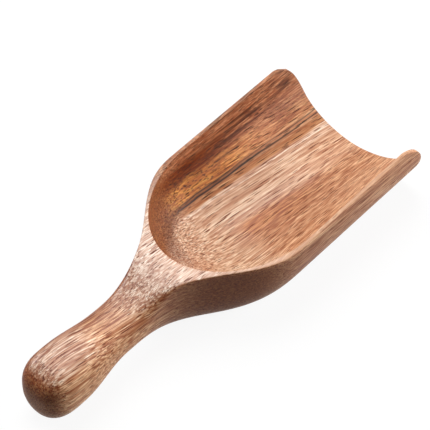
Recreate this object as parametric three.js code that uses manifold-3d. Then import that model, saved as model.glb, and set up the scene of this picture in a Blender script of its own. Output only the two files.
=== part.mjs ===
import * as THREE from "three";
import { mergeVertices } from "three/addons/utils/BufferGeometryUtils.js";
import Module from "manifold-3d";

// Kitchen scoop carved from one length of acacia. Millimetres, +Z up, +Y toward the mouth.
// Places along the scoop are measured from the end of the knob, heights from the table that it lies on.

const { smootherstep } = THREE.MathUtils;

// Overall
const LENGTH = 220;

// Knob of the handle, where it is thickest
const KNOB_AT = 16.5;
const KNOB_WIDTH = 27.4;
const KNOB_TOP = 30.5;
const KNOB_BLUNTNESS = 2.7; // power of the rounded end: 2 is half an ellipse, more is blunter

// Neck, where the handle is thinnest
const NECK_AT = 51;
const NECK_WIDTH = 22;
const NECK_TOP = 28;
const NECK_BOTTOM = 5.9;

// Shoulder: the flat top face that spreads from the neck into the rim of the bowl
const SHOULDER_AT = 87;
const SHOULDER_TOP = 34.2;
const FLARE_START = 62;
const FLARE_END = 134.5;

// Bowl, outside
const BOWL_WIDTH = 81.8;
const MOUTH_TOP = 36.8;
const BELLY_START = 48.5;
const BELLY_END = 111;
const SOLE_CUT = 1; // depth planed off the belly to leave a flat sole

// Hollow of the bowl
const HOLLOW_BACK_AT = 87.5;
const HOLLOW_BACK_LENGTH = 50.5;
const HOLLOW_BACK_POWER = 1.95; // outline of the back from above: 2 is half an ellipse, less is more pointed
const RIM_WALL = 1.9;
const BACK_FLOOR = 4.5;
const LIP_THICKNESS = 3;
const HOLLOW_FLOOR_POWER = 1.8; // how slowly the floor starts to climb
const HOLLOW_WALL_POWER = 2.6; // how steep the wall is at the rim

// Mouth, seen from the side
const LIP_SETBACK = 1.3; // the lower lip stands this far behind the foremost point
const TIP_RADIUS = 19.5;
const TIP_CREST = 0.3; // the round tops out this far above the rim, so it meets the rim at a slight angle

// Sections: how round (2) or square (large) each quarter is, and where the section is widest
const HANDLE_UPPER_POWER = 3.3;
const HANDLE_LOWER_POWER = 2;
const HANDLE_WIDEST = 0.5; // share of the height
const SHOULDER_LOWER_POWER = 4.6;
const BOWL_LOWER_POWER = 3.05;
const EDGE_POWER = 14; // crisp edge between the top face and the outer wall
const EDGE_HEIGHT = 1.4;

// Fineness of the mesh
const RING_POINTS = 48;
const KNOB_RINGS = 8;
const BODY_STEP = 4;
const HOLLOW_POINTS = 33;
const HOLLOW_BACK_RINGS = 16;
const MOUTH_ARC_SEGMENTS = 16;
const OVERCUT = 8; // how far cutting solids run past the faces that they cut
const MERGE_DISTANCE = 1e-4; // points closer than this are one point

const blend = (y, before, after, start, end) =>
  before + (after - before) * smootherstep(y, start, end);

// Lines of the outside along the scoop

function halfWidthAt(y) {
  const handle = blend(y, KNOB_WIDTH, NECK_WIDTH, KNOB_AT, NECK_AT);
  const flare = blend(y, 0, BOWL_WIDTH - NECK_WIDTH, FLARE_START, FLARE_END);
  return (handle + flare) / 2;
}

function topAt(y) {
  const handle = blend(y, KNOB_TOP, NECK_TOP, KNOB_AT, NECK_AT);
  const rise = blend(y, 0, SHOULDER_TOP - NECK_TOP, NECK_AT, SHOULDER_AT);
  const alongRim = Math.max(0, (y - SHOULDER_AT) / (LENGTH - SHOULDER_AT));
  return handle + rise + alongRim * (MOUTH_TOP - SHOULDER_TOP);
}

function bottomAt(y) {
  const handle = blend(y, 0, NECK_BOTTOM, KNOB_AT, NECK_AT);
  return handle + blend(y, 0, -SOLE_CUT - NECK_BOTTOM, BELLY_START, BELLY_END);
}

function widestAt(y) {
  const handle = bottomAt(y) + HANDLE_WIDEST * (topAt(y) - bottomAt(y));
  return blend(y, handle, topAt(y) - EDGE_HEIGHT, NECK_AT, SHOULDER_AT);
}

// The powers blend as their inverses, so that the edge sharpens evenly toward the shoulder.
function upperPowerAt(y) {
  return 1 / blend(y, 1 / HANDLE_UPPER_POWER, 1 / EDGE_POWER, NECK_AT, SHOULDER_AT);
}

function lowerPowerAt(y) {
  const handle = blend(y, HANDLE_LOWER_POWER, SHOULDER_LOWER_POWER, NECK_AT, SHOULDER_AT);
  return handle + blend(y, 0, BOWL_LOWER_POWER - SHOULDER_LOWER_POWER, SHOULDER_AT, FLARE_END);
}

// Half of a superellipse: the height share left at a share of the half-width.
const arch = (share, power) =>
  Math.pow(Math.max(0, 1 - Math.pow(Math.abs(share), power)), 1 / power);

// One outer section, as a ring of points
function bodyRing(y) {
  const lineY = Math.max(y, KNOB_AT);
  const shrink = arch(Math.max(0, 1 - y / KNOB_AT), KNOB_BLUNTNESS);
  const half = halfWidthAt(lineY) * shrink;
  const widest = widestAt(lineY);
  const up = (topAt(lineY) - widest) * shrink;
  const down = (widest - bottomAt(lineY)) * shrink;
  return Array.from({ length: RING_POINTS }, (_, i) => {
    const angle = (2 * Math.PI * i) / RING_POINTS;
    const share = Math.cos(angle);
    const upper = Math.sin(angle) >= 0;
    const z = upper
      ? widest + up * arch(share, upperPowerAt(lineY))
      : widest - down * arch(share, lowerPowerAt(lineY));
    return new THREE.Vector3(half * share, y, Math.max(0, z));
  });
}

// Closed solid through rings of equal length: from a start point, through the rings, to an end point
function loft(start, rings, end) {
  const count = rings[0].length;
  const points = [...rings.flat(), start, end];
  const firstCap = points.length - 2;
  const lastCap = points.length - 1;
  const lastRing = (rings.length - 1) * count;
  const index = [];
  for (let j = 0; j < count; j++) {
    const next = (j + 1) % count;
    index.push(firstCap, j, next);
    index.push(lastCap, lastRing + next, lastRing + j);
    for (let row = 0; row < lastRing; row += count) {
      index.push(row + j, row + count + j, row + count + next);
      index.push(row + j, row + count + next, row + next);
    }
  }
  return new THREE.BufferGeometry().setFromPoints(points).setIndex(index);
}

// The whole outside, run past the mouth so that the mouth can be trimmed afterwards
function blankGeometry() {
  const stations = [];
  for (let i = 1; i <= KNOB_RINGS; i++)
    stations.push(KNOB_AT * (1 - Math.cos((Math.PI / 2) * (i / KNOB_RINGS))));
  const bodySteps = Math.ceil((LENGTH + OVERCUT - KNOB_AT) / BODY_STEP);
  for (let i = 1; i <= bodySteps; i++)
    stations.push(KNOB_AT + ((LENGTH + OVERCUT - KNOB_AT) * i) / bodySteps);
  const knobEnd = new THREE.Vector3(0, 0, widestAt(KNOB_AT));
  const farEnd = new THREE.Vector3(0, LENGTH + OVERCUT, widestAt(LENGTH) / 2);
  return loft(knobEnd, stations.map(bodyRing), farEnd);
}

// How far out a point of the hollow lies, from 0 over the middle of the floor to 1 at the rim
const outward = (across, back) =>
  Math.pow(
    Math.pow(Math.abs(across), HOLLOW_BACK_POWER) + Math.pow(back, HOLLOW_BACK_POWER),
    1 / HOLLOW_BACK_POWER,
  );

// One section of the hollow: the floor and walls, which carry on past the rim
function hollowRing(y) {
  const fromBack = Math.min(1, (y - HOLLOW_BACK_AT) / HOLLOW_BACK_LENGTH);
  const back = 1 - fromBack;
  const half = BOWL_WIDTH / 2 - RIM_WALL;
  const reach = half * arch(back, HOLLOW_BACK_POWER);
  const alongFloor = (y - HOLLOW_BACK_AT) / (LENGTH - HOLLOW_BACK_AT);
  const floor = BACK_FLOOR + (LIP_THICKNESS - BACK_FLOOR) * alongFloor;
  const rim = topAt(y);
  const last = HOLLOW_POINTS - 1;
  return Array.from({ length: HOLLOW_POINTS }, (_, i) => {
    const x = -reach * Math.cos((Math.PI * i) / last);
    if (i === 0 || i === last) return new THREE.Vector3(x, y, rim + OVERCUT);
    const out = outward(x / half, back);
    const depth = Math.pow(1 - Math.pow(out, HOLLOW_FLOOR_POWER), 1 / HOLLOW_WALL_POWER);
    return new THREE.Vector3(x, y, rim - (rim - floor) * depth);
  });
}

function hollowGeometry() {
  const stations = [];
  for (let i = 1; i <= HOLLOW_BACK_RINGS; i++) {
    const angle = (Math.PI / 2) * (i / HOLLOW_BACK_RINGS);
    stations.push(HOLLOW_BACK_AT + HOLLOW_BACK_LENGTH * (1 - Math.cos(angle)));
  }
  const start = HOLLOW_BACK_AT + HOLLOW_BACK_LENGTH;
  const end = LENGTH + 2 * OVERCUT;
  const steps = Math.ceil((end - start) / BODY_STEP);
  for (let i = 1; i <= steps; i++) stations.push(start + ((end - start) * i) / steps);
  const backEnd = new THREE.Vector3(0, HOLLOW_BACK_AT, topAt(HOLLOW_BACK_AT) + OVERCUT / 2);
  const farEnd = new THREE.Vector3(0, end, topAt(end));
  return loft(backEnd, stations.map(hollowRing), farEnd);
}

// Everything in front of the mouth, drawn in the side view (Y, Z) and extruded across the bowl
function mouthCutterGeometry() {
  const roundStart = LENGTH - TIP_RADIUS;
  const roundTop = topAt(roundStart) + TIP_CREST;
  const roundLow = roundTop - TIP_RADIUS;
  const lean = LIP_SETBACK / roundLow;
  const width = BOWL_WIDTH + 2 * OVERCUT;
  const front = new THREE.Shape();
  front.moveTo(LENGTH - LIP_SETBACK - lean * OVERCUT, -OVERCUT);
  front.lineTo(LENGTH, roundLow);
  front.absarc(roundStart, roundLow, TIP_RADIUS, 0, Math.PI / 2, false);
  front.lineTo(roundStart, roundTop + OVERCUT);
  front.lineTo(LENGTH + 2 * OVERCUT, roundTop + OVERCUT);
  front.lineTo(LENGTH + 2 * OVERCUT, -OVERCUT);
  const cutter = new THREE.ExtrudeGeometry(front, {
    depth: width,
    bevelEnabled: false,
    curveSegments: MOUTH_ARC_SEGMENTS,
  });
  // The drawing's axes become Y and Z, and the extrusion runs along X.
  const turn = new THREE.Matrix4().makeBasis(
    new THREE.Vector3(0, 1, 0),
    new THREE.Vector3(0, 0, 1),
    new THREE.Vector3(1, 0, 0),
  );
  return cutter.applyMatrix4(turn).translate(-width / 2, 0, 0);
}

// Carving: the blank, less its hollow, less what lies in front of the mouth

const wasm = await Module();
wasm.setup();

function solidOf(geometry) {
  const bare = geometry.clone();
  bare.deleteAttribute("normal");
  bare.deleteAttribute("uv");
  const merged = mergeVertices(bare, MERGE_DISTANCE);
  return new wasm.Manifold(
    new wasm.Mesh({
      numProp: 3,
      vertProperties: new Float32Array(merged.attributes.position.array),
      triVerts: new Uint32Array(merged.index.array),
    }),
  );
}

function geometryOf(solid) {
  const mesh = solid.getMesh();
  const geometry = new THREE.BufferGeometry();
  geometry.setAttribute("position", new THREE.BufferAttribute(mesh.vertProperties, 3));
  geometry.setIndex(new THREE.BufferAttribute(mesh.triVerts, 1));
  geometry.computeVertexNormals();
  return geometry;
}

function carvedGeometry() {
  const blank = solidOf(blankGeometry());
  const hollowed = blank.subtract(solidOf(hollowGeometry()));
  return geometryOf(hollowed.subtract(solidOf(mouthCutterGeometry())));
}

const oiledAcacia = new THREE.MeshStandardMaterial({
  color: 0xa9714a,
  roughness: 0.5,
  metalness: 0,
});

const carvedScoop = new THREE.Mesh(carvedGeometry(), oiledAcacia);
carvedScoop.name = "carved_scoop";
carvedScoop.position.y = -LENGTH / 2;

const kitchenScoop = new THREE.Group();
kitchenScoop.add(carvedScoop);

export default kitchenScoop;
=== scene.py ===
import math

import bmesh
import bpy
import numpy as np
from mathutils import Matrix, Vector


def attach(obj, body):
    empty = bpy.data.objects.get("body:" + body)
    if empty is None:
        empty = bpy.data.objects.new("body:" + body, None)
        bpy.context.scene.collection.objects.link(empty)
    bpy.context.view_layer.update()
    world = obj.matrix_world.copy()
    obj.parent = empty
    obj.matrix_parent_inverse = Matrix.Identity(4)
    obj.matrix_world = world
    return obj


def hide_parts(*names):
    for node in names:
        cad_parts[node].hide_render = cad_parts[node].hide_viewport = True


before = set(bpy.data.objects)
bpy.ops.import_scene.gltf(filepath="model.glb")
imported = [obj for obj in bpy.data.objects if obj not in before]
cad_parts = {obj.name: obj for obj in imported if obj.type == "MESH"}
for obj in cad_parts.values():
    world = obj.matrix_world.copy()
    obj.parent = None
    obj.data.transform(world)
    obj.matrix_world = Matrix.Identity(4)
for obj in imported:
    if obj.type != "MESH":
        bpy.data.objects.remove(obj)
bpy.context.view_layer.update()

# Kitchen scoop carved from one length of acacia. Metres, +Z up, +Y toward the mouth.
# Places along the scoop are measured from the end of the knob, heights from the table that it lies on.

LENGTH = 0.220

# Knob of the handle, where it is thickest
KNOB_AT = 0.0165
KNOB_WIDTH = 0.0274
KNOB_TOP = 0.0305
KNOB_BLUNTNESS = 2.7

# Neck, where the handle is thinnest
NECK_AT = 0.051
NECK_WIDTH = 0.022
NECK_TOP = 0.028
NECK_BOTTOM = 0.0059

# Shoulder: the flat top face that spreads from the neck into the rim of the bowl
SHOULDER_AT = 0.087
SHOULDER_TOP = 0.0342
FLARE_START = 0.062
FLARE_END = 0.1345

# Bowl, outside
BOWL_WIDTH = 0.0818
MOUTH_TOP = 0.0368
BELLY_START = 0.0485
BELLY_END = 0.111
SOLE_CUT = 0.001

# Hollow of the bowl
HOLLOW_BACK_AT = 0.0875
HOLLOW_BACK_LENGTH = 0.0505
HOLLOW_BACK_POWER = 1.95
RIM_WALL = 0.0019
BACK_FLOOR = 0.0045
LIP_THICKNESS = 0.003
HOLLOW_FLOOR_POWER = 1.8
HOLLOW_WALL_POWER = 2.6
HOLLOW_HALF = BOWL_WIDTH / 2 - RIM_WALL
STRAIGHT_AT = HOLLOW_BACK_AT + HOLLOW_BACK_LENGTH

# Mouth, seen from the side
LIP_SETBACK = 0.0013
TIP_RADIUS = 0.0195
TIP_CREST = 0.0003

# Sections: how round (2) or square (large) each quarter is, and where the section is widest
HANDLE_UPPER_POWER = 3.3
HANDLE_LOWER_POWER = 2
HANDLE_WIDEST = 0.5
SHOULDER_LOWER_POWER = 4.6
BOWL_LOWER_POWER = 3.05
EDGE_POWER = 14
EDGE_HEIGHT = 0.0014

# Edges eased by sanding
EASED_EDGE = 0.00025
EASED_STEPS = 3
SHARP_ANGLE = math.radians(50)

# Layout of the mesh: how many steps each stretch takes
SIDE_STEPS = 30
BACK_STEPS = 44
CROSS_STEPS = 8
RIM_STEPS = 6
EDGE_STEPS = 6
WALL_STEPS = 34
HANDLE_STEPS = 28
KNOB_STEPS = 14

# Layout of the mesh: rounds in which the lines along the bowl find the mouth
MOUTH_ROUNDS = 12

# Layout of the mesh: where its grids meet and how their lines crowd together
CROSS_AT = 0.064
CROSS_ANGLE = math.radians(6)
RIM_BAND = 0.12
EDGE_ROOM = 0.0005
EDGE_ROOM_SHARE = 0.45
HANDLE_INSET = 0.7
BOWL_INSET = 0.985
BOWL_INSET_AT = 0.098
HANDLE_CROWDING = 1.3
BOWL_CROWDING = 3.0
OUTLINE_CROWDING = 4.5
WELD = 2e-6

# Colours of the wood: bands across the pale wood by millimetres to the side, layers of the dark heartwood by
# millimetres up through the growth layers
PALE = (0.64, 0.385, 0.24, 1)
ORANGE = (0.51, 0.19, 0.065, 1)
TAN = (0.64, 0.325, 0.168, 1)
GOLDEN = (0.75, 0.32, 0.065, 1)
BROWN = (0.25, 0.06, 0.0095, 1)
CREAM = (0.72, 0.46, 0.29, 1)
RUSSET = (0.6, 0.275, 0.13, 1)
ASH = (0.56, 0.27, 0.12, 1)
STREAK = (0.73, 0.5, 0.35, 1)
UMBER = (0.22, 0.072, 0.022, 1)
CHESTNUT = (0.27, 0.088, 0.026, 1)
# Painted sheen on top of the shoulder and the knob
PAINTED_SHEEN = (0.67, 0.45, 0.325, 1)
# Painted highlight on top of the rim
RIM_HIGHLIGHT = (0.6, 0.345, 0.21, 1)
PORE_DARK = (0.04, 0.016, 0.008, 1)
VEIN = (0.025, 0.012, 0.008, 1)
BAND_SPAN = (-60, 60)
PALE_BANDS = [(-16, PALE), (-10, ORANGE), (-5, ORANGE), (7, TAN)]
LAYER_SPAN = (0, 40)
SIDE_LAYERS = [
    (5.7, PALE),
    (5.9, STREAK),
    (6.35, STREAK),
    (6.5, ASH),
    (7.5, ASH),
    (8.0, UMBER),
    (8.4, UMBER),
    (9.3, GOLDEN),
    (12.5, GOLDEN),
    (15.5, BROWN),
    (20, BROWN),
    (24, RUSSET),
    (38, PALE),
]
BACK_LAYERS = [
    (6, PALE),
    (7.8, UMBER),
    (9.2, UMBER),
    (11.5, CHESTNUT),
    (26, CHESTNUT),
    (33, PALE),
]

# What the fine grain and the turned-away faces do to the colour under them, as factors. On the turned-away
# faces this is partly painted shade.
LATE_FIBRE = (0.7, 0.5, 0.4, 1)
EARLY_FIBRE = (1.2, 1.34, 1.44, 1)
PORE_BORDER = (1.3, 1.5, 1.65, 1)
PORE_SHADE = (0.3, 0.14, 0.09, 1)
DARK_RING = (0.25, 0.16, 0.11, 1)
GROOVE = (0.56, 0.38, 0.29, 1)
HANDLED = (1.05, 1.06, 1.04, 1)
# Darkening of faces that look back toward the knob: end grain, and partly painted shade on that unlit side
END_GRAIN_AND_SHADE = (0.82, 0.62, 0.5, 1)
# Painted shade on the outside, under the shoulder and the rim
FLANK_SHADE = (0.6, 0.52, 0.48, 1)

# Run of the grain: the fibres turn aside and dip, the growth layers lean, the bands cross the scoop askew
MILLIMETRES = 1000
GRAIN_TURN = math.radians(6)
GRAIN_DIP = math.radians(3)
GRAIN_AXIS = (math.sin(GRAIN_TURN), math.cos(GRAIN_TURN), 0)
LAYER_LEAN = (0.172, 0.029, 1)
BAND_SKEW = -0.165

# How far the slow sway of the figure moves the fibres, the layers and the bands, in millimetres
FIBRE_SWAY = 5
LAYER_SWAY = 2
BAND_SWAY = 4

# Lines in the wood: breadth and length in millimetres, and how much finer detail they carry
SWAY = (22, 70, 1)
WAVER = (3, 40, 2)
RINGS = (1.1, 45, 2)
THREADS = (0.85, 70, 2)
FIBRES = (0.45, 22, 2)
TIP_LINES = (3.4, 50, 0)
GROOVES = (1.5, 60, 1)

# Pores: breadth and length of the wood round each in millimetres, and their bore as a share of it
LARGE_PORES = (1.1, 22, 0.15)
SMALL_PORES = (0.8, 10, 0.19)
SPECKLES = (0.8, 2.4, 0.27)
SPECKLE_SHIFT = (3.3, 7.7, 5.1)
PORE_EDGE = 0.08

# Lines of the dark vein: spacing in millimetres, and how many radians they waver
VEIN_SPACING = 0.75
VEIN_WAVER = 8

# Zones: two places, and the levels at them where these aren't 0 and 1. Between them the level eases over.
# Millimetres along from the middle of the scoop, sideways from its axis, and up from the table.
FRONT_ALONG = (4, 20)
LEFT_SIDE = (-3, -18)
BACK_LEFT_SIDE = (4, -14)
GRAIN_TURN_SIDE = (12, 34, -math.tan(GRAIN_TURN), 0)
LAYER_DROP_ALONG = (2, 24, -2.3, 0)
OUTSIDE_SIDE = (4, 12)
TAN_ALONG = (50, 95, 0, 0.75)
HANDLED_ALONG = (-40, -62)
BACK_WALL_FRONT = (12, 2)
BACK_WALL_REAR = (-26, -16, 0, 0.4)
CREAM_FRONT = (36, 18)
CREAM_REAR = (-4, 6, 0, 0.8)
CREAM_HEIGHT = (17, 8)
MOUTH_TONE_ALONG = (36, 82, 0, 0.85)
# Painted shade along the outside, under the shoulder and the rim
FLANK_SHADE_FRONT = (75, 5, 0.25, 1)
FLANK_SHADE_REAR = (-62, -26)
FLANK_SHADE_LOW = (-2, 9)
FLANK_SHADE_HIGH = (35, 31)
# Painted sheen on top of the shoulder and the knob
PAINTED_SHEEN_FRONT = (6, -14)
PAINTED_SHEEN_REAR = (-68, -36)
PAINTED_SHEEN_KNOB = (-68, -84, 0, 0.8)
THREADS_ALONG = (-10, -40, 0.75, 1)
DARK_RINGS_REAR = (30, 60, 0.3, 1)
DARK_RINGS_FRONT = (76, 100, 1, 0.25)
TIP_LINES_ALONG = (50, 80, 0, 0.75)
HANDLE_GROOVES_ALONG = (-22, -42)
FLANK_GROOVES_ALONG = (5, 30)
BOWL_GROOVES_ALONG = (10, 30, 0, 0.4)
SPECKLES_ALONG = (35, 60, 0.85, 0.3)
BACK_SPECKLES_FRONT = (20, 6)
BACK_SPECKLES_REAR = (-24, -12)
BACK_SPECKLES_SIDE = (6, -14, 0, 0.55)
VEIN_ALONG = (45, 90, 1, 0.75)
# Painted highlight on top of the rim
RIM_HEIGHT = (32.5, 34)
RIM_ALONG = (-24, -8)
RIM_SIDE = (-34, -10, 0.2, 1)
SHEEN_HANDLE_ALONG = (-30, -50, 1, 0.5)
SHEEN_MOUTH_ALONG = (70, 105, 1, 0.5)

# The same up through the growth layers, and across the bands of the pale wood, in millimetres
HEART_LAYER = (6, 7)
MOUTH_TONE_LAYER = (7.2, 7.8)
RUSSET_LAYER = (8.8, 10.5)
ABOVE_VEIN_LAYER = (8.4, 9.4, 0.25, 1)
VEIN_LOW_LAYER = (7.2, 7.8)
VEIN_HIGH_LAYER = (9.0, 8.6)
TIP_LINES_LAYER = (17, 21)
ORANGE_BAND = (-17, -8)

# The same by the way a face looks: out to the right, up, or along the fibres toward the mouth
OUTSIDE_FACING = (0.15, 0.6)
END_GRAIN_AND_SHADE_FACING = (0, -0.8)
PAINTED_SHEEN_FACING = (0.7, 0.96, 0, 0.85)
HANDLE_GROOVES_FACING = (-0.1, 0.5)
RIM_FACING = (0.6, 0.95, 0, 0.65)
SHEEN_UP_FACING = (0.7, 0.98, 0.03, 0.5)
SHEEN_MOUTH_FACING = (0.12, 0.4, 1, 0.2)

# The same by the strength of a line, or by the distance from a pore's middle
LATE_TO_EARLY = (0.38, 0.62)
DARK_RING_LINE = (0.48, 0.4)
VEIN_LINE = (0.1, 0.6)
THIN_LINE = (0.02, 0.07, 1, 0)
BORDER_INSIDE = (0.24, 0.36)
BORDER_OUTSIDE = (0.56, 0.42)
THREAD_ROUGHNESS = (0.2, 0.8, 0.42, 0.54)

# The same by how far a point lies in heartwood, in the orange band or in a pore
HEART_EARLY_FIBRE = (0, 1, 1, 0.4)
HEART_SHEEN = (0, 1, 1, 0.1)
ORANGE_SHEEN = (0, 1, 1, 0.45)
PORE_SHEEN = (0, 1, 1, 0.1)

# How strongly each kind of line or pore shows
FIBRE_STRENGTH = 0.65
RING_LINE_STRENGTH = 0.8
BORDER_STRENGTH = 0.6
SMALL_PORE_STRENGTH = 0.8

# Surface: oil over sanded wood, and relief with its depth in metres
OIL_SPECULAR = 0.2
OIL_ROUGHNESS = 0.26
OIL_IOR = 1.6
PORE_ROUGHNESS = 0.2
SMALL_PORE_DEPTH = 0.6
FIBRE_RELIEF = 0.5
RELIEF_STRENGTH = 0.7
RELIEF_DEPTH = 0.0002

# Studio: each softbox with its place, its diameter and its power in watts
FLOOR_REACH = 6.0
FLOOR_PAINT = (0.12, 0.12, 0.12, 1)
FLOOR_GLOW = 0.9
WORLD_COLOUR = (1, 1, 1, 1)
WORLD_LIGHT = 0.04
SOFTBOX_AIM = (0, 0, 0.02)
SOFTBOXES = [
    ("overhead softbox", (-0.42, 0.24, 0.97), 0.92, 9.9),
    ("side softbox", (0.68, 0.82, 0.34), 0.9, 13.5),
    ("left softbox", (-1.0, 0.0, 0.42), 0.5, 6.5),
]

# Camera: turned from the knob's end toward the right, and raised. Sensor and lens are millimetres.
CAMERA_TURN = math.radians(41.918)
CAMERA_RISE = math.radians(49.879)
CAMERA_AIM = (-0.01107, 0.0197, 0.018)
CAMERA_DISTANCE = 0.88
CAMERA_SENSOR = 36
CAMERA_LENS = 157.94


# Lines of the outside along the scoop

def blend(y, before, after, start, end):
    t = np.clip((y - start) / (end - start), 0, 1)
    return before + (after - before) * t**3 * (t * (6 * t - 15) + 10)


def half_width(y):
    handle = blend(y, KNOB_WIDTH, NECK_WIDTH, KNOB_AT, NECK_AT)
    flare = blend(y, 0, BOWL_WIDTH - NECK_WIDTH, FLARE_START, FLARE_END)
    return (handle + flare) / 2


def top_line(y):
    handle = blend(y, KNOB_TOP, NECK_TOP, KNOB_AT, NECK_AT)
    rise = blend(y, 0, SHOULDER_TOP - NECK_TOP, NECK_AT, SHOULDER_AT)
    along_rim = np.maximum(0, (y - SHOULDER_AT) / (LENGTH - SHOULDER_AT))
    return handle + rise + along_rim * (MOUTH_TOP - SHOULDER_TOP)


def bottom_line(y):
    handle = blend(y, 0, NECK_BOTTOM, KNOB_AT, NECK_AT)
    return handle + blend(y, 0, -SOLE_CUT - NECK_BOTTOM, BELLY_START, BELLY_END)


def widest_line(y):
    handle = bottom_line(y) + HANDLE_WIDEST * (top_line(y) - bottom_line(y))
    return blend(y, handle, top_line(y) - EDGE_HEIGHT, NECK_AT, SHOULDER_AT)


def upper_power(y):
    return 1 / blend(y, 1 / HANDLE_UPPER_POWER, 1 / EDGE_POWER, NECK_AT, SHOULDER_AT)


def lower_power(y):
    handle = blend(y, HANDLE_LOWER_POWER, SHOULDER_LOWER_POWER, NECK_AT, SHOULDER_AT)
    return handle + blend(y, 0, BOWL_LOWER_POWER - SHOULDER_LOWER_POWER, SHOULDER_AT, FLARE_END)


def arch(share, power):
    return np.maximum(0, 1 - np.abs(share) ** power) ** (1 / power)


def top_face(x, y):
    rise = top_line(y) - widest_line(y)
    return widest_line(y) + rise * arch(x / half_width(y), upper_power(y))


# The top face runs out to an inset line, and the edge beyond it belongs to the outer wall.

def inset_share(y):
    return blend(y, HANDLE_INSET, BOWL_INSET, NECK_AT, BOWL_INSET_AT)


def side_contour(y, step):
    """Point of the outer wall: step 0 is the inset line, 1 the widest line, 2 the bottom centre."""
    inset_angle = np.arccos(inset_share(y) ** (upper_power(y) / 2))
    crowding = blend(y, HANDLE_CROWDING, BOWL_CROWDING, NECK_AT, SHOULDER_AT)
    upper_angle = inset_angle * np.clip(1 - step, 0, 1) ** crowding
    lower_angle = math.pi / 2 * np.clip(step - 1, 0, 1)
    upper = step <= 1
    angle = np.where(upper, upper_angle, lower_angle)
    power = np.where(upper, upper_power(y), lower_power(y))
    reach = np.where(upper, top_line(y), bottom_line(y)) - widest_line(y)
    x = half_width(y) * np.cos(angle) ** (2 / power)
    z = widest_line(y) + reach * np.sin(angle) ** (2 / power)
    return x, np.maximum(0, z)


# Hollow of the bowl

def hollow_contour(step):
    """Shares of the way out and of the depth: step 0 is the floor centre, 1 near the rim, 2 the rim."""
    wall_angle = math.acos(RIM_BAND ** (HOLLOW_WALL_POWER / 2))
    floor_depth = np.cos(wall_angle * np.clip(step, 0, 1)) ** (2 / HOLLOW_WALL_POWER)
    depth = np.where(step <= 1, floor_depth, RIM_BAND * (2 - step))
    out = (1 - depth**HOLLOW_WALL_POWER) ** (1 / HOLLOW_FLOOR_POWER)
    return out, depth


def hollow_height(y, depth):
    along_floor = (y - HOLLOW_BACK_AT) / (LENGTH - HOLLOW_BACK_AT)
    floor = BACK_FLOOR + (LIP_THICKNESS - BACK_FLOOR) * along_floor
    return top_line(y) - (top_line(y) - floor) * depth


# Mouth: a leaning face below, a round above

def mouth_place(z):
    round_start = LENGTH - TIP_RADIUS
    round_low = top_line(round_start) + TIP_CREST - TIP_RADIUS
    above = np.clip(z - round_low, 0, TIP_RADIUS)
    lean = LENGTH - LIP_SETBACK * (1 - z / round_low)
    return np.where(z < round_low, lean, round_start + np.sqrt(TIP_RADIUS**2 - above**2))


def fan_to_mouth(share, height):
    """Places of points that lie a share of the way from the start of the straight sides to the mouth."""
    y = STRAIGHT_AT + share * (LENGTH - STRAIGHT_AT)
    for _ in range(MOUTH_ROUNDS):
        y = STRAIGHT_AT + share * (mouth_place(height(y)) - STRAIGHT_AT)
    return y


# Half of the surface, as grids of points that share their borders

def points(x, y, z):
    return np.stack(np.broadcast_arrays(x, y, z), axis=-1)


def back_angles():
    """Angles of the stations round the back of the hollow, from its side to its axis."""
    round_side = np.linspace(math.pi / 2, CROSS_ANGLE, BACK_STEPS + 1)
    behind = np.linspace(CROSS_ANGLE, 0, CROSS_STEPS + 1)
    return np.concatenate([round_side, behind[1:]])


def inner_rim(angle, out=1.0):
    x = HOLLOW_HALF * out * np.sin(angle) ** (2 / HOLLOW_BACK_POWER)
    y = STRAIGHT_AT - HOLLOW_BACK_LENGTH * out * np.cos(angle) ** (2 / HOLLOW_BACK_POWER)
    return x, y


def outer_places():
    """Places of the outer outline that face the stations round the back, down to the cross line."""
    angle = back_angles()[: BACK_STEPS + 1]
    turned = (angle - CROSS_ANGLE) / (math.pi / 2 - CROSS_ANGLE)
    _, inner = inner_rim(angle)
    _, last_inner = inner_rim(CROSS_ANGLE)
    return inner - (last_inner - CROSS_AT) * (1 - turned) ** OUTLINE_CROWDING


def two_stretches(first_steps, second_steps):
    """Steps of a contour from 0 to 1 and on to 2, with the given number in each stretch."""
    first = np.linspace(0, 1, first_steps + 1)
    second = np.linspace(1, 2, second_steps + 1)
    return np.concatenate([first, second[1:]])


def mouth_shares():
    """Shares of the way from the start of the straight sides to the mouth, from the mouth back."""
    return np.linspace(1, 0, SIDE_STEPS + 1)[:, None]


def hollow_grid():
    out, depth = hollow_contour(two_stretches(WALL_STEPS, EDGE_STEPS))
    rim = depth == 0

    def straight_height(y):
        return np.where(rim, top_face(HOLLOW_HALF, y), hollow_height(y, depth))

    y = fan_to_mouth(mouth_shares(), straight_height)
    side = points(HOLLOW_HALF * out, y, straight_height(y))
    x, y = inner_rim(back_angles()[1:, None], out)
    back = points(x, y, np.where(rim, top_face(x, y), hollow_height(y, depth)))
    return np.concatenate([side, back])


def rim_columns(length):
    """Shares of a strip's width, with room for an eased edge at both borders."""
    end = np.clip(EDGE_ROOM / length, 1 / RIM_STEPS, EDGE_ROOM_SHARE)
    middle = end + (1 - 2 * end) * np.linspace(0, 1, RIM_STEPS - 1)
    return np.concatenate([0 * end, middle, 0 * end + 1], axis=-1)


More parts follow.
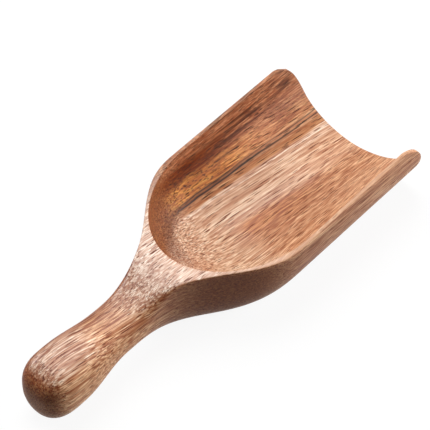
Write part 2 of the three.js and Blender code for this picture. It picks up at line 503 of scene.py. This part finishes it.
def rim_grid():
    inset = inset_share(STRAIGHT_AT) * half_width(STRAIGHT_AT)
    columns = rim_columns(np.array([inset - HOLLOW_HALF]))
    x = HOLLOW_HALF + (inset - HOLLOW_HALF) * columns
    y = fan_to_mouth(mouth_shares(), lambda place: top_face(x, place))
    side = points(x, y, top_face(x, y))

    inner_x, inner_y = inner_rim(back_angles()[1:])
    outline = outer_places()[1:]
    across = np.linspace(1, 0, CROSS_STEPS + 1)[1:] * inset_share(CROSS_AT) * half_width(CROSS_AT)
    outer_x = np.concatenate([inset_share(outline) * half_width(outline), across])
    outer_y = np.concatenate([outline, np.full(CROSS_STEPS, CROSS_AT)])
    columns = rim_columns(np.hypot(outer_x - inner_x, outer_y - inner_y)[:, None])
    x = inner_x[:, None] + (outer_x - inner_x)[:, None] * columns
    y = inner_y[:, None] + (outer_y - inner_y)[:, None] * columns
    return np.concatenate([side, points(x, y, top_face(x, y))])


def wall_grid():
    step = two_stretches(EDGE_STEPS, WALL_STEPS)
    y = fan_to_mouth(mouth_shares(), lambda place: side_contour(place, step)[1])
    x, z = side_contour(y, step)
    side = points(x, y, z)
    y = outer_places()[1:, None]
    x, z = side_contour(y, step)
    return np.concatenate([side, points(x, y, z)])


def handle_grid():
    step = two_stretches(EDGE_STEPS, WALL_STEPS)
    body = np.linspace(CROSS_AT, KNOB_AT, HANDLE_STEPS + 1)
    knob = KNOB_AT * (1 - np.sin(np.linspace(0, math.pi / 2, KNOB_STEPS + 1)[1:]))
    place = np.concatenate([body, knob])[:, None]
    line = np.maximum(place, KNOB_AT)
    shrink = arch(np.maximum(0, 1 - place / KNOB_AT), KNOB_BLUNTNESS)
    across = np.linspace(0, 1, CROSS_STEPS + 1)[:-1] * inset_share(line) * half_width(line)
    side_x, side_z = side_contour(line, step)
    x = np.concatenate([across, side_x], axis=1)
    z = np.concatenate([top_face(across, line), side_z], axis=1)
    middle = widest_line(line)
    return points(x * shrink, place, middle + (z - middle) * shrink)


def lip_grid(hollow, rim, wall):
    inner = hollow[0]
    outer = wall[0][::-1]
    share = rim_columns(np.linalg.norm(outer - inner, axis=1)[:, None])
    x = inner[:, :1] + (outer - inner)[:, :1] * share
    z = inner[:, 2:] + (outer - inner)[:, 2:] * share
    grid = points(x, mouth_place(z), z)
    grid[-1] = rim[0]
    return grid


# Whole scoop: both halves of every grid, welded along their borders

def lay_grid(mesh, grid, mirror):
    rows = [[mesh.verts.new((mirror * x, y - LENGTH / 2, z)) for x, y, z in row] for row in grid]
    for row, following in zip(rows, rows[1:]):
        for i in range(len(row) - 1):
            mesh.faces.new((row[i], row[i + 1], following[i + 1], following[i]))


def ease_edges(scoop):
    eased = scoop.modifiers.new("eased edges", "BEVEL")
    eased.width = EASED_EDGE
    eased.segments = EASED_STEPS
    eased.limit_method = "ANGLE"
    eased.angle_limit = SHARP_ANGLE
    eased.use_clamp_overlap = False


def carve_scoop():
    hollow = hollow_grid()
    rim = rim_grid()
    wall = wall_grid()
    mesh = bmesh.new()
    for grid in (hollow, rim, wall, handle_grid(), lip_grid(hollow, rim, wall)):
        for mirror in (1, -1):
            lay_grid(mesh, grid, mirror)
    bmesh.ops.remove_doubles(mesh, verts=mesh.verts, dist=WELD)
    bmesh.ops.recalc_face_normals(mesh, faces=mesh.faces)
    data = bpy.data.meshes.new("acacia_scoop")
    mesh.to_mesh(data)
    mesh.free()
    data.shade_smooth()
    scoop = bpy.data.objects.new("acacia_scoop", data)
    bpy.context.collection.objects.link(scoop)
    ease_edges(scoop)
    return scoop


# Short forms for wiring nodes

def join(tree, value, socket):
    """Feed a socket from another one, or set it to a plain value."""
    if isinstance(value, bpy.types.NodeSocket):
        tree.links.new(value, socket)
    else:
        socket.default_value = value


def add(tree, kind, inputs=None, **settings):
    node = tree.nodes.new(kind)
    for name, value in settings.items():
        setattr(node, name, value)
    for name, value in (inputs or {}).items():
        join(tree, value, node.inputs[name])
    return node


def maths(tree, operation, first, second=0.0):
    return add(tree, "ShaderNodeMath", {0: first, 1: second}, operation=operation).outputs[0]


def reach_along(tree, vector, direction):
    """How far a vector reaches in a direction."""
    inputs = {0: vector, 1: direction}
    return add(tree, "ShaderNodeVectorMath", inputs, operation="DOT_PRODUCT").outputs["Value"]


def product(tree, first, *others):
    for other in others:
        first = maths(tree, "MULTIPLY", first, other)
    return first


def ease(tree, value, start, end, before=0.0, after=1.0):
    """Level that goes smoothly from one value to another between two places."""
    inputs = {"Value": value, "From Min": start, "From Max": end, "To Min": before, "To Max": after}
    return add(tree, "ShaderNodeMapRange", inputs, interpolation_type="SMOOTHSTEP").outputs["Result"]


def within(tree, *limits):
    """Product of the levels in several zones, each given as a value and its zone."""
    return product(tree, *[ease(tree, value, *zone) for value, zone in limits])


def tint(tree, factor, first, second, blend_type="MIX"):
    node = add(tree, "ShaderNodeMix", data_type="RGBA", blend_type=blend_type)
    for number, value in ((0, factor), (6, first), (7, second)):
        join(tree, value, node.inputs[number])
    return node.outputs[2]


def multiplied(tree, share, colour, factor):
    """The colour, multiplied by a factor where the share is 1."""
    return tint(tree, share, colour, factor, "MULTIPLY")


def ramp(tree, value, span, stops):
    """Colour read off a scale: the stops are places in millimetres over the span, each with its colour."""
    low, high = span
    share = maths(tree, "DIVIDE", maths(tree, "SUBTRACT", value, low), high - low)
    node = add(tree, "ShaderNodeValToRGB", {"Fac": share})
    marks = node.color_ramp.elements
    marks.remove(marks[1])
    for number, (place, colour) in enumerate(stops):
        mark = marks[0] if number == 0 else marks.new((place - low) / (high - low))
        mark.position = (place - low) / (high - low)
        mark.color = colour
    return node.outputs["Color"]


# Lines and pores, stretched along the grain

def stretched(tree, grain, across, along):
    """The blank's space squeezed so that one unit is the given breadth and the given length of grain."""
    squeeze = (1 / across, 1 / along, 1 / across)
    return add(tree, "ShaderNodeVectorMath", {0: grain, 1: squeeze}, operation="MULTIPLY").outputs[0]


def streaks(tree, grain, across, along, detail):
    inputs = {"Vector": stretched(tree, grain, across, along), "Scale": 1, "Detail": detail}
    return add(tree, "ShaderNodeTexNoise", inputs).outputs[0]


def off_middle(tree, noise):
    return maths(tree, "SUBTRACT", noise, 0.5)


def thin_lines(tree, noise):
    """1 on the lines where the noise crosses its middle."""
    distance = maths(tree, "ABSOLUTE", off_middle(tree, noise))
    return ease(tree, distance, *THIN_LINE)


def pores(tree, grain, across, along, bore):
    """Cut vessels, 1 inside one, and the pale wood along their borders, 1 beside one."""
    inputs = {"Vector": stretched(tree, grain, across, along), "Scale": 1}
    distance = add(tree, "ShaderNodeTexVoronoi", inputs).outputs["Distance"]
    border = within(tree, (distance, BORDER_INSIDE), (distance, BORDER_OUTSIDE))
    return ease(tree, distance, bore, bore + PORE_EDGE, 1, 0), border


# The wood at each point of the scoop. It runs through the whole blank, so all cut faces share its grain.

class Wood:
    """What the layers of the finish read: places in millimetres, directions, grain, lines and pores."""

    def __init__(self, tree):
        self.tree = tree
        self.find_place()
        self.find_grain()
        self.find_figure()
        self.find_lines()
        self.find_pores()

    def find_place(self):
        coordinates = add(self.tree, "ShaderNodeTexCoord").outputs
        scaled = {0: coordinates["Object"], "Scale": MILLIMETRES}
        self.place = add(self.tree, "ShaderNodeVectorMath", scaled, operation="SCALE").outputs[0]
        self.side, self.along, self.height = add(self.tree, "ShaderNodeSeparateXYZ", {0: self.place}).outputs
        normal = coordinates["Normal"]
        self.outward, _, self.up = add(self.tree, "ShaderNodeSeparateXYZ", {0: normal}).outputs
        self.mouthward = reach_along(self.tree, normal, GRAIN_AXIS)
        self.outside = within(self.tree, (self.outward, OUTSIDE_FACING), (self.side, OUTSIDE_SIDE))

    def find_grain(self):
        """Slow sway, space with the fibres along its second axis, and height in the growth layers."""
        tree = self.tree
        self.sway = off_middle(tree, streaks(tree, self.place, *SWAY))
        dip = {"Vector": self.place, "Rotation": (GRAIN_DIP, 0, 0)}
        dipped = add(tree, "ShaderNodeMapping", dip).outputs[0]
        slant = product(tree, self.along, ease(tree, self.side, *GRAIN_TURN_SIDE))
        drift = maths(tree, "ADD", slant, product(tree, self.sway, FIBRE_SWAY))
        bend = add(tree, "ShaderNodeCombineXYZ", {"X": drift}).outputs[0]
        self.grain = add(tree, "ShaderNodeVectorMath", {0: dipped, 1: bend}, operation="ADD").outputs[0]
        lean = reach_along(tree, self.place, LAYER_LEAN)
        dropped = maths(tree, "ADD", lean, ease(tree, self.along, *LAYER_DROP_ALONG))
        self.layer = maths(tree, "ADD", dropped, product(tree, self.sway, LAYER_SWAY))
        self.layered = add(tree, "ShaderNodeCombineXYZ", {"X": self.layer, "Y": self.along}).outputs[0]

    def find_figure(self):
        """Place across the pale bands, and how far each point lies in heartwood and in the orange band."""
        tree = self.tree
        skewed = maths(tree, "ADD", self.side, product(tree, self.along, BAND_SKEW))
        self.band = maths(tree, "ADD", skewed, product(tree, self.sway, BAND_SWAY))
        self.front = ease(tree, self.along, *FRONT_ALONG)
        self.left = ease(tree, self.side, *LEFT_SIDE)
        self.heart = product(tree, self.front, self.left, ease(tree, self.layer, *HEART_LAYER))
        self.orange = product(tree, self.front, ease(tree, self.band, *ORANGE_BAND))
        self.above_vein = product(tree, self.heart, ease(tree, self.layer, *ABOVE_VEIN_LAYER))

    def find_lines(self):
        self.rings = streaks(self.tree, self.layered, *RINGS)
        self.threads = streaks(self.tree, self.grain, *THREADS)
        self.fibres = streaks(self.tree, self.grain, *FIBRES)

    def find_pores(self):
        tree = self.tree
        self.large_pores, large_border = pores(tree, self.grain, *LARGE_PORES)
        self.small_pores, small_border = pores(tree, self.grain, *SMALL_PORES)
        self.pore_borders = maths(tree, "MAXIMUM", large_border, small_border)
        beside = add(tree, "ShaderNodeVectorMath", {0: self.grain, 1: SPECKLE_SHIFT}).outputs[0]
        self.speckles, _ = pores(tree, beside, *SPECKLES)
        shallow = product(tree, self.small_pores, SMALL_PORE_DEPTH)
        self.sunk = maths(tree, "MAXIMUM", self.large_pores, shallow)


# Figure: pale wood in bands, with layers of dark heartwood on the left and behind the bowl

def pale_wood(wood):
    """Bands, a little paler on the handle, orange behind the bowl, cream on its floor, tan at the mouth."""
    tree = wood.tree
    colour = ramp(tree, wood.band, BAND_SPAN, PALE_BANDS)
    colour = tint(tree, ease(tree, wood.along, *TAN_ALONG), colour, TAN)
    colour = multiplied(tree, ease(tree, wood.along, *HANDLED_ALONG), colour, HANDLED)
    back_wall = within(tree, (wood.along, BACK_WALL_FRONT), (wood.along, BACK_WALL_REAR))
    colour = tint(tree, back_wall, colour, ORANGE)
    cream = within(tree, (wood.along, CREAM_FRONT), (wood.height, CREAM_HEIGHT), (wood.along, CREAM_REAR))
    return tint(tree, cream, colour, CREAM)


def side_heartwood(wood):
    """Dark layers of the left wall, which turn tan and russet toward the mouth."""
    tree = wood.tree
    colour = ramp(tree, wood.layer, LAYER_SPAN, SIDE_LAYERS)
    toward_mouth = within(tree, (wood.along, MOUTH_TONE_ALONG), (wood.layer, MOUTH_TONE_LAYER))
    mouth_tone = tint(tree, ease(tree, wood.layer, *RUSSET_LAYER), TAN, RUSSET)
    return tint(tree, toward_mouth, colour, mouth_tone)


def figure(wood):
    tree = wood.tree
    pale = pale_wood(wood)
    back_layers = ramp(tree, wood.layer, LAYER_SPAN, BACK_LAYERS)
    back = tint(tree, ease(tree, wood.side, *BACK_LEFT_SIDE), pale, back_layers)
    front = tint(tree, wood.left, pale, side_heartwood(wood))
    return tint(tree, wood.front, back, front)


# Layers of the finish, each laid over the colour under it

def end_grain_and_shade(wood, colour):
    """Faces that look back toward the knob are darker: partly end grain, which cuts across the fibres as at
    the knob's end, and partly painted shade on the side that the lights don't reach.
    """
    return multiplied(wood.tree, ease(wood.tree, wood.mouthward, *END_GRAIN_AND_SHADE_FACING), colour, END_GRAIN_AND_SHADE)


def flank_shade(wood, colour):
    """Painted shade: a soft dark band along the outside, under the shoulder and the rim, where shade falls.
    """
    tree = wood.tree
    length = within(tree, (wood.along, FLANK_SHADE_FRONT), (wood.along, FLANK_SHADE_REAR))
    breadth = within(tree, (wood.height, FLANK_SHADE_LOW), (wood.height, FLANK_SHADE_HIGH))
    return multiplied(tree, product(tree, length, wood.outside, breadth), colour, FLANK_SHADE)


def painted_sheen_top(wood, colour):
    """Painted sheen: paler colour on the up-facing top of the shoulder and of the knob, where the overhead
    light is reflected.
    """
    tree = wood.tree
    shoulder = within(tree, (wood.along, PAINTED_SHEEN_FRONT), (wood.along, PAINTED_SHEEN_REAR))
    top = maths(tree, "ADD", shoulder, ease(tree, wood.along, *PAINTED_SHEEN_KNOB))
    return tint(tree, product(tree, top, ease(tree, wood.up, *PAINTED_SHEEN_FACING)), colour, PAINTED_SHEEN)


def fibre_lines(wood, colour):
    """Dark late wood and pale early wood by turns, in broad threads and in fine fibres."""
    tree = wood.tree
    thread_strength = ease(tree, wood.along, *THREADS_ALONG)
    early_share = ease(tree, wood.heart, *HEART_EARLY_FIBRE)
    for lines, strength in ((wood.threads, thread_strength), (wood.fibres, FIBRE_STRENGTH)):
        late = multiplied(tree, strength, colour, LATE_FIBRE)
        early = multiplied(tree, product(tree, early_share, strength), colour, EARLY_FIBRE)
        colour = tint(tree, ease(tree, lines, *LATE_TO_EARLY), late, early)
    return colour


def heartwood_lines(wood, colour):
    """Growth rings above the vein, broad and thin, and a few long dark lines by the tip of the rim."""
    tree = wood.tree
    broad = within(
        tree,
        (wood.rings, DARK_RING_LINE),
        (wood.along, DARK_RINGS_REAR),
        (wood.along, DARK_RINGS_FRONT),
    )
    colour = multiplied(tree, product(tree, wood.above_vein, broad), colour, DARK_RING)
    thin = product(tree, thin_lines(tree, wood.rings), wood.above_vein, RING_LINE_STRENGTH)
    colour = multiplied(tree, thin, colour, GROOVE)
    near_tip = within(tree, (wood.along, TIP_LINES_ALONG), (wood.layer, TIP_LINES_LAYER))
    lines = thin_lines(tree, streaks(tree, wood.layered, *TIP_LINES))
    return multiplied(tree, product(tree, lines, near_tip, wood.heart), colour, DARK_RING)


def grain_grooves(wood, colour):
    """Long thin lines on the handle and the outside, and fainter ones in the bowl."""
    tree = wood.tree
    handle = within(tree, (wood.along, HANDLE_GROOVES_ALONG), (wood.up, HANDLE_GROOVES_FACING))
    flank = product(tree, wood.outside, ease(tree, wood.along, *FLANK_GROOVES_ALONG))
    bowl = ease(tree, wood.along, *BOWL_GROOVES_ALONG)
    grooved = maths(tree, "MAXIMUM", maths(tree, "MAXIMUM", handle, flank), bowl)
    lines = thin_lines(tree, streaks(tree, wood.grain, *GROOVES))
    return multiplied(tree, product(tree, lines, grooved), colour, GROOVE)


def cut_pores(wood, colour):
    """Pores with pale borders everywhere, and short dark speckles in the heartwood."""
    tree = wood.tree
    pore_colour = tint(tree, wood.heart, multiplied(tree, 1.0, colour, PORE_SHADE), PORE_DARK)
    colour = multiplied(tree, product(tree, wood.pore_borders, BORDER_STRENGTH), colour, PORE_BORDER)
    colour = tint(tree, product(tree, wood.small_pores, SMALL_PORE_STRENGTH), colour, pore_colour)
    left_wall = product(tree, wood.above_vein, ease(tree, wood.along, *SPECKLES_ALONG))
    back_wall = within(
        tree,
        (wood.along, BACK_SPECKLES_FRONT),
        (wood.along, BACK_SPECKLES_REAR),
        (wood.side, BACK_SPECKLES_SIDE),
    )
    speckled = maths(tree, "MAXIMUM", left_wall, back_wall)
    colour = tint(tree, product(tree, wood.speckles, speckled), colour, PORE_DARK)
    return tint(tree, wood.large_pores, colour, pore_colour)


def dark_vein(wood, colour):
    """Near-black lines at the foot of the heartwood, fainter toward the mouth."""
    tree = wood.tree
    waver = product(tree, streaks(tree, wood.layered, *WAVER), VEIN_WAVER)
    phase = maths(tree, "ADD", product(tree, wood.layer, 2 * math.pi / VEIN_SPACING), waver)
    lines = ease(tree, maths(tree, "SINE", phase), *VEIN_LINE)
    near = within(tree, (wood.layer, VEIN_LOW_LAYER), (wood.layer, VEIN_HIGH_LAYER))
    strength = ease(tree, wood.along, *VEIN_ALONG)
    return tint(tree, product(tree, near, wood.heart, lines, strength), colour, VEIN)


def painted_rim_highlight(wood, colour):
    """Painted highlight: paler top of the rim where it faces up to the light, least on the left."""
    limits = (wood.height, RIM_HEIGHT), (wood.along, RIM_ALONG), (wood.side, RIM_SIDE), (wood.up, RIM_FACING)
    return tint(wood.tree, within(wood.tree, *limits), colour, RIM_HIGHLIGHT)


# Surface of the finish

def roughness(wood):
    tree = wood.tree
    sanded = ease(tree, wood.threads, *THREAD_ROUGHNESS)
    return maths(tree, "ADD", sanded, product(tree, wood.sunk, PORE_ROUGHNESS))


def oil_sheen(wood):
    """Sheen of the oil on faces that look up, weak in pores, in dark or orange wood and at the ends."""
    return within(
        wood.tree,
        (wood.up, SHEEN_UP_FACING),
        (wood.sunk, PORE_SHEEN),
        (wood.heart, HEART_SHEEN),
        (wood.orange, ORANGE_SHEEN),
        (wood.mouthward, SHEEN_MOUTH_FACING),
        (wood.along, SHEEN_HANDLE_ALONG),
        (wood.along, SHEEN_MOUTH_ALONG),
    )


def relief(wood):
    """Raised fibres and sunk pores."""
    depth = maths(wood.tree, "SUBTRACT", product(wood.tree, wood.fibres, FIBRE_RELIEF), wood.sunk)
    inputs = {"Strength": RELIEF_STRENGTH, "Distance": RELIEF_DEPTH, "Height": depth}
    return add(wood.tree, "ShaderNodeBump", inputs).outputs["Normal"]


FINISH_LAYERS = [
    end_grain_and_shade,
    flank_shade,
    painted_sheen_top,
    fibre_lines,
    heartwood_lines,
    grain_grooves,
    cut_pores,
    dark_vein,
    painted_rim_highlight,
]


def acacia_material():
    material = bpy.data.materials.new("oiled acacia")
    material.use_nodes = True
    tree = material.node_tree
    wood = Wood(tree)
    colour = figure(wood)
    for layer in FINISH_LAYERS:
        colour = layer(wood, colour)
    surface = {
        "Base Color": colour,
        "Roughness": roughness(wood),
        "Specular IOR Level": OIL_SPECULAR,
        "Coat Weight": oil_sheen(wood),
        "Coat Roughness": OIL_ROUGHNESS,
        "Coat IOR": OIL_IOR,
        "Normal": relief(wood),
    }
    shader = tree.nodes["Principled BSDF"]
    for name, value in surface.items():
        join(tree, value, shader.inputs[name])
    return material


# Floor, light and camera

def seen_directly(tree):
    """1 for what the eye sees, also in a reflection or through glass, 0 for light that falls on things."""
    rays = add(tree, "ShaderNodeLightPath").outputs
    seen = maths(tree, "MAXIMUM", rays["Is Camera Ray"], rays["Is Glossy Ray"])
    return maths(tree, "MAXIMUM", seen, rays["Is Transmission Ray"])


def floor_material():
    material = bpy.data.materials.new("white floor")
    material.use_nodes = True
    tree = material.node_tree
    tree.nodes.clear()
    paint = add(tree, "ShaderNodeBsdfDiffuse", {"Color": FLOOR_PAINT})
    white = add(tree, "ShaderNodeEmission", {"Strength": product(tree, seen_directly(tree), FLOOR_GLOW)})
    both = add(tree, "ShaderNodeAddShader", {0: paint.outputs[0], 1: white.outputs[0]})
    add(tree, "ShaderNodeOutputMaterial", {"Surface": both.outputs[0]})
    return material


def white_floor():
    """Matt floor that looks white to the eye, gives back little light and keeps the scoop's shadow."""
    data = bpy.data.meshes.new("floor")
    corners = [(x * FLOOR_REACH, y * FLOOR_REACH, 0) for x, y in ((-1, -1), (1, -1), (1, 1), (-1, 1))]
    data.from_pydata(corners, [], [(0, 1, 2, 3)])
    data.materials.append(floor_material())
    floor = bpy.data.objects.new("floor", data)
    bpy.context.collection.objects.link(floor)


def softbox(name, place, size, power):
    data = bpy.data.lights.new(name, "AREA")
    data.shape = "DISK"
    data.size = size
    data.energy = power
    light = bpy.data.objects.new(name, data)
    light.location = place
    light.rotation_mode = "QUATERNION"
    light.rotation_quaternion = (Vector(SOFTBOX_AIM) - Vector(place)).to_track_quat("-Z", "Y")
    bpy.context.collection.objects.link(light)


def white_world():
    """White surroundings, which give the scoop only a little light."""
    world = bpy.data.worlds.new("studio")
    world.use_nodes = True
    tree = world.node_tree
    sky = tree.nodes["Background"]
    sky.inputs["Color"].default_value = WORLD_COLOUR
    tree.links.new(maths(tree, "MAXIMUM", seen_directly(tree), WORLD_LIGHT), sky.inputs["Strength"])
    bpy.context.scene.world = world


def photo_camera():
    level = math.cos(CAMERA_RISE)
    back = Vector((math.sin(CAMERA_TURN) * level, -math.cos(CAMERA_TURN) * level, math.sin(CAMERA_RISE)))
    data = bpy.data.cameras.new("camera")
    data.sensor_width = CAMERA_SENSOR
    data.lens = CAMERA_LENS
    camera = bpy.data.objects.new("camera", data)
    camera.location = Vector(CAMERA_AIM) + back * CAMERA_DISTANCE
    camera.rotation_mode = "QUATERNION"
    camera.rotation_quaternion = (-back).to_track_quat("-Z", "Y")
    bpy.context.collection.objects.link(camera)
    bpy.context.scene.camera = camera


scoop = carve_scoop()
scoop.data.materials.append(acacia_material())
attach(scoop, "root")
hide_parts("carved_scoop")

white_floor()
for settings in SOFTBOXES:
    softbox(*settings)
white_world()
photo_camera()
bpy.context.scene.view_settings.view_transform = "Standard"
